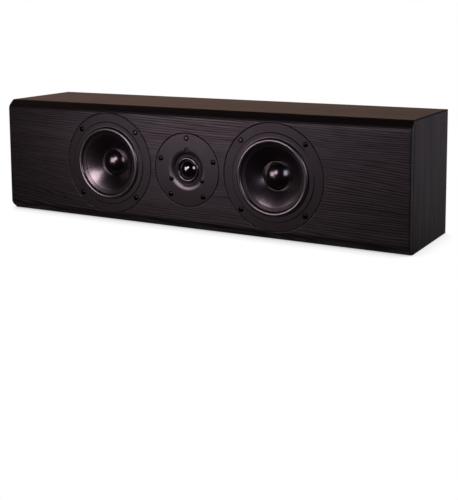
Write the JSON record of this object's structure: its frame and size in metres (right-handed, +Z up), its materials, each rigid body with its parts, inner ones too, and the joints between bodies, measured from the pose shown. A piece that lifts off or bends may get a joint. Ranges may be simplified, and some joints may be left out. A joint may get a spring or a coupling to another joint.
{
  "type": "center channel speaker",
  "caption": "Long, low loudspeaker with bass drivers either side of a dome tweeter, in a black-ash cabinet with a bevelled front baffle and screw terminals in a cup at the back.",
  "frame": {"origin": "under the middle of the cabinet, on the surface that it stands on", "axes": "+X along the cabinet to the listener's right, -Y out of the front, +Z up"},
  "size_m": [0.65, 0.1566, 0.172],
  "materials": {
    "black_ash_veneer": "black-ash veneer on MDF, satin lacquer",
    "raw_mdf": "raw MDF",
    "felt": "needled felt",
    "basket_plastic": "moulded, satin black",
    "faceplate_plastic": "moulded, satin black",
    "cone_polypropylene": "moulded polypropylene, glossy black",
    "cap_vinyl": "pressed vinyl, glossy black",
    "surround_rubber": "moulded rubber, satin",
    "spider_cloth": "pleated, resin-dipped cotton",
    "coil_copper": "enamelled copper wire",
    "zinc_plated_steel": "zinc-plated mild steel",
    "ferrite": "sintered ferrite",
    "gasket_foam": "closed-cell foam",
    "black_screw_steel": "black-finished steel",
    "tab_brass": "tinned brass",
    "dome_cloth": "coated silk",
    "circuit_board": "phenolic laminate",
    "film_capacitor": "wrapped film",
    "resistor_ceramic": "moulded cement",
    "support_nylon": "moulded nylon",
    "wire_pvc": "PVC insulation",
    "cup_plastic": "moulded ABS, fine grain",
    "gilt_brass": "turned, gilt",
    "red_knob_plastic": "moulded, red",
    "black_knob_plastic": "moulded, black"
  },
  "bodies": {
    "cabinet": {"top_panel": "black_ash_veneer", "bottom_panel": "black_ash_veneer", "left_panel": "black_ash_veneer", "right_panel": "black_ash_veneer", "front_baffle": "black_ash_veneer", "back_panel": "black_ash_veneer", "left_brace": "raw_mdf", "right_brace": "raw_mdf", "left_damping_pad": "felt", "right_damping_pad": "felt", "left_basket": "basket_plastic", "right_basket": "basket_plastic", "tweeter_faceplate": "faceplate_plastic", "left_surround": "surround_rubber", "right_surround": "surround_rubber", "left_spider": "spider_cloth", "right_spider": "spider_cloth", "tweeter_voice_coil": "coil_copper", "crossover_inductors": "coil_copper", "left_top_plate": "zinc_plated_steel", "right_top_plate": "zinc_plated_steel", "left_yoke": "zinc_plated_steel", "right_yoke": "zinc_plated_steel", "tweeter_top_plate": "zinc_plated_steel", "tweeter_yoke": "zinc_plated_steel", "post_nuts": "zinc_plated_steel", "left_magnet": "ferrite", "right_magnet": "ferrite", "tweeter_magnet": "ferrite", "woofer_gaskets": "gasket_foam", "tweeter_gasket": "gasket_foam", "woofer_screws": "black_screw_steel", "tweeter_screws": "black_screw_steel", "tweeter_faceplate_screws": "black_screw_steel", "terminal_cup_screws": "black_screw_steel", "woofer_terminals": "tab_brass", "tweeter_terminals": "tab_brass", "tweeter_diaphragm": "dome_cloth", "crossover_board": "circuit_board", "crossover_capacitors": "film_capacitor", "crossover_resistors": "resistor_ceramic", "crossover_supports": "support_nylon", "left_woofer_lead": "wire_pvc", "right_woofer_lead": "wire_pvc", "tweeter_lead": "wire_pvc", "input_lead": "wire_pvc", "terminal_cup": "cup_plastic", "red_post_stud": "gilt_brass", "black_post_stud": "gilt_brass"},
    "left_cone_assembly": {"left_cone": "cone_polypropylene", "left_dust_cap": "cap_vinyl", "left_voice_coil": "coil_copper"},
    "right_cone_assembly": {"right_cone": "cone_polypropylene", "right_dust_cap": "cap_vinyl", "right_voice_coil": "coil_copper"},
    "red_clamp_washer": {"red_post_washer": "gilt_brass"},
    "red_clamp_knob": {"red_post_knob": "red_knob_plastic"},
    "black_clamp_washer": {"black_post_washer": "gilt_brass"},
    "black_clamp_knob": {"black_post_knob": "black_knob_plastic"}
  },
  "joints": [
    {"name": "left_cone_travel", "type": "slide", "parent": "cabinet", "child": "left_cone_assembly", "axis": [0, -1, 0], "range_m": [-0.004, 0.004], "stiffness_N_per_m": 1000, "deforming": ["left_surround", "left_spider"]},
    {"name": "right_cone_travel", "type": "slide", "parent": "cabinet", "child": "right_cone_assembly", "axis": [0, -1, 0], "range_m": [-0.004, 0.004], "stiffness_N_per_m": 1000, "deforming": ["right_surround", "right_spider"]},
    {"name": "red_knob_advance", "type": "slide", "parent": "cabinet", "child": "red_clamp_washer", "axis": [0, 1, 0], "range_m": [0, 0.005]},
    {"name": "red_knob_turn", "type": "hinge", "parent": "red_clamp_washer", "child": "red_clamp_knob", "pos_m": [-0.00953, 0.0613, 0.086], "axis": [0, 1, 0], "range_deg": [0, 1800]},
    {"name": "black_knob_advance", "type": "slide", "parent": "cabinet", "child": "black_clamp_washer", "axis": [0, 1, 0], "range_m": [0, 0.005]},
    {"name": "black_knob_turn", "type": "hinge", "parent": "black_clamp_washer", "child": "black_clamp_knob", "pos_m": [0.00953, 0.0613, 0.086], "axis": [0, 1, 0], "range_deg": [0, 1800]}
  ],
  "couplings": [
    {"joint": "red_knob_turn", "follows": "red_knob_advance", "rad_per_m": 6283.2},
    {"joint": "black_knob_turn", "follows": "black_knob_advance", "rad_per_m": 6283.2}
  ]
}
